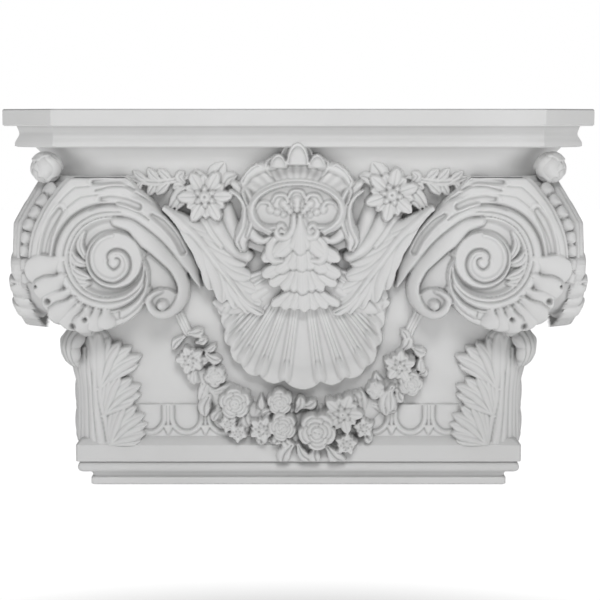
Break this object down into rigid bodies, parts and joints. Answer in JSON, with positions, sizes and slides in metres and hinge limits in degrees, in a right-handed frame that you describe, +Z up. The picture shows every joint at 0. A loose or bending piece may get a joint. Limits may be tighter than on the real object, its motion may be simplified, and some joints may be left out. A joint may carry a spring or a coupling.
{
  "type": "pilaster capital",
  "caption": "Ornate composite pilaster capital with corner scrolls, shell, flower garland and chamfered abacus, cast in one piece with a flat back for a wall.",
  "frame": {"origin": "on the wall face, on the centre line, 190 mm above the underside", "axes": "+Y into the wall, -Y out of the front, +Z up, +X to the right seen from the wall's room side"},
  "size_m": [0.596, 0.125, 0.389],
  "materials": {
    "white_primer": "matt factory primer on rigid foam"
  },
  "bodies": {
    "root": {"pilaster_capital": "white_primer"}
  },
  "joints": []
}
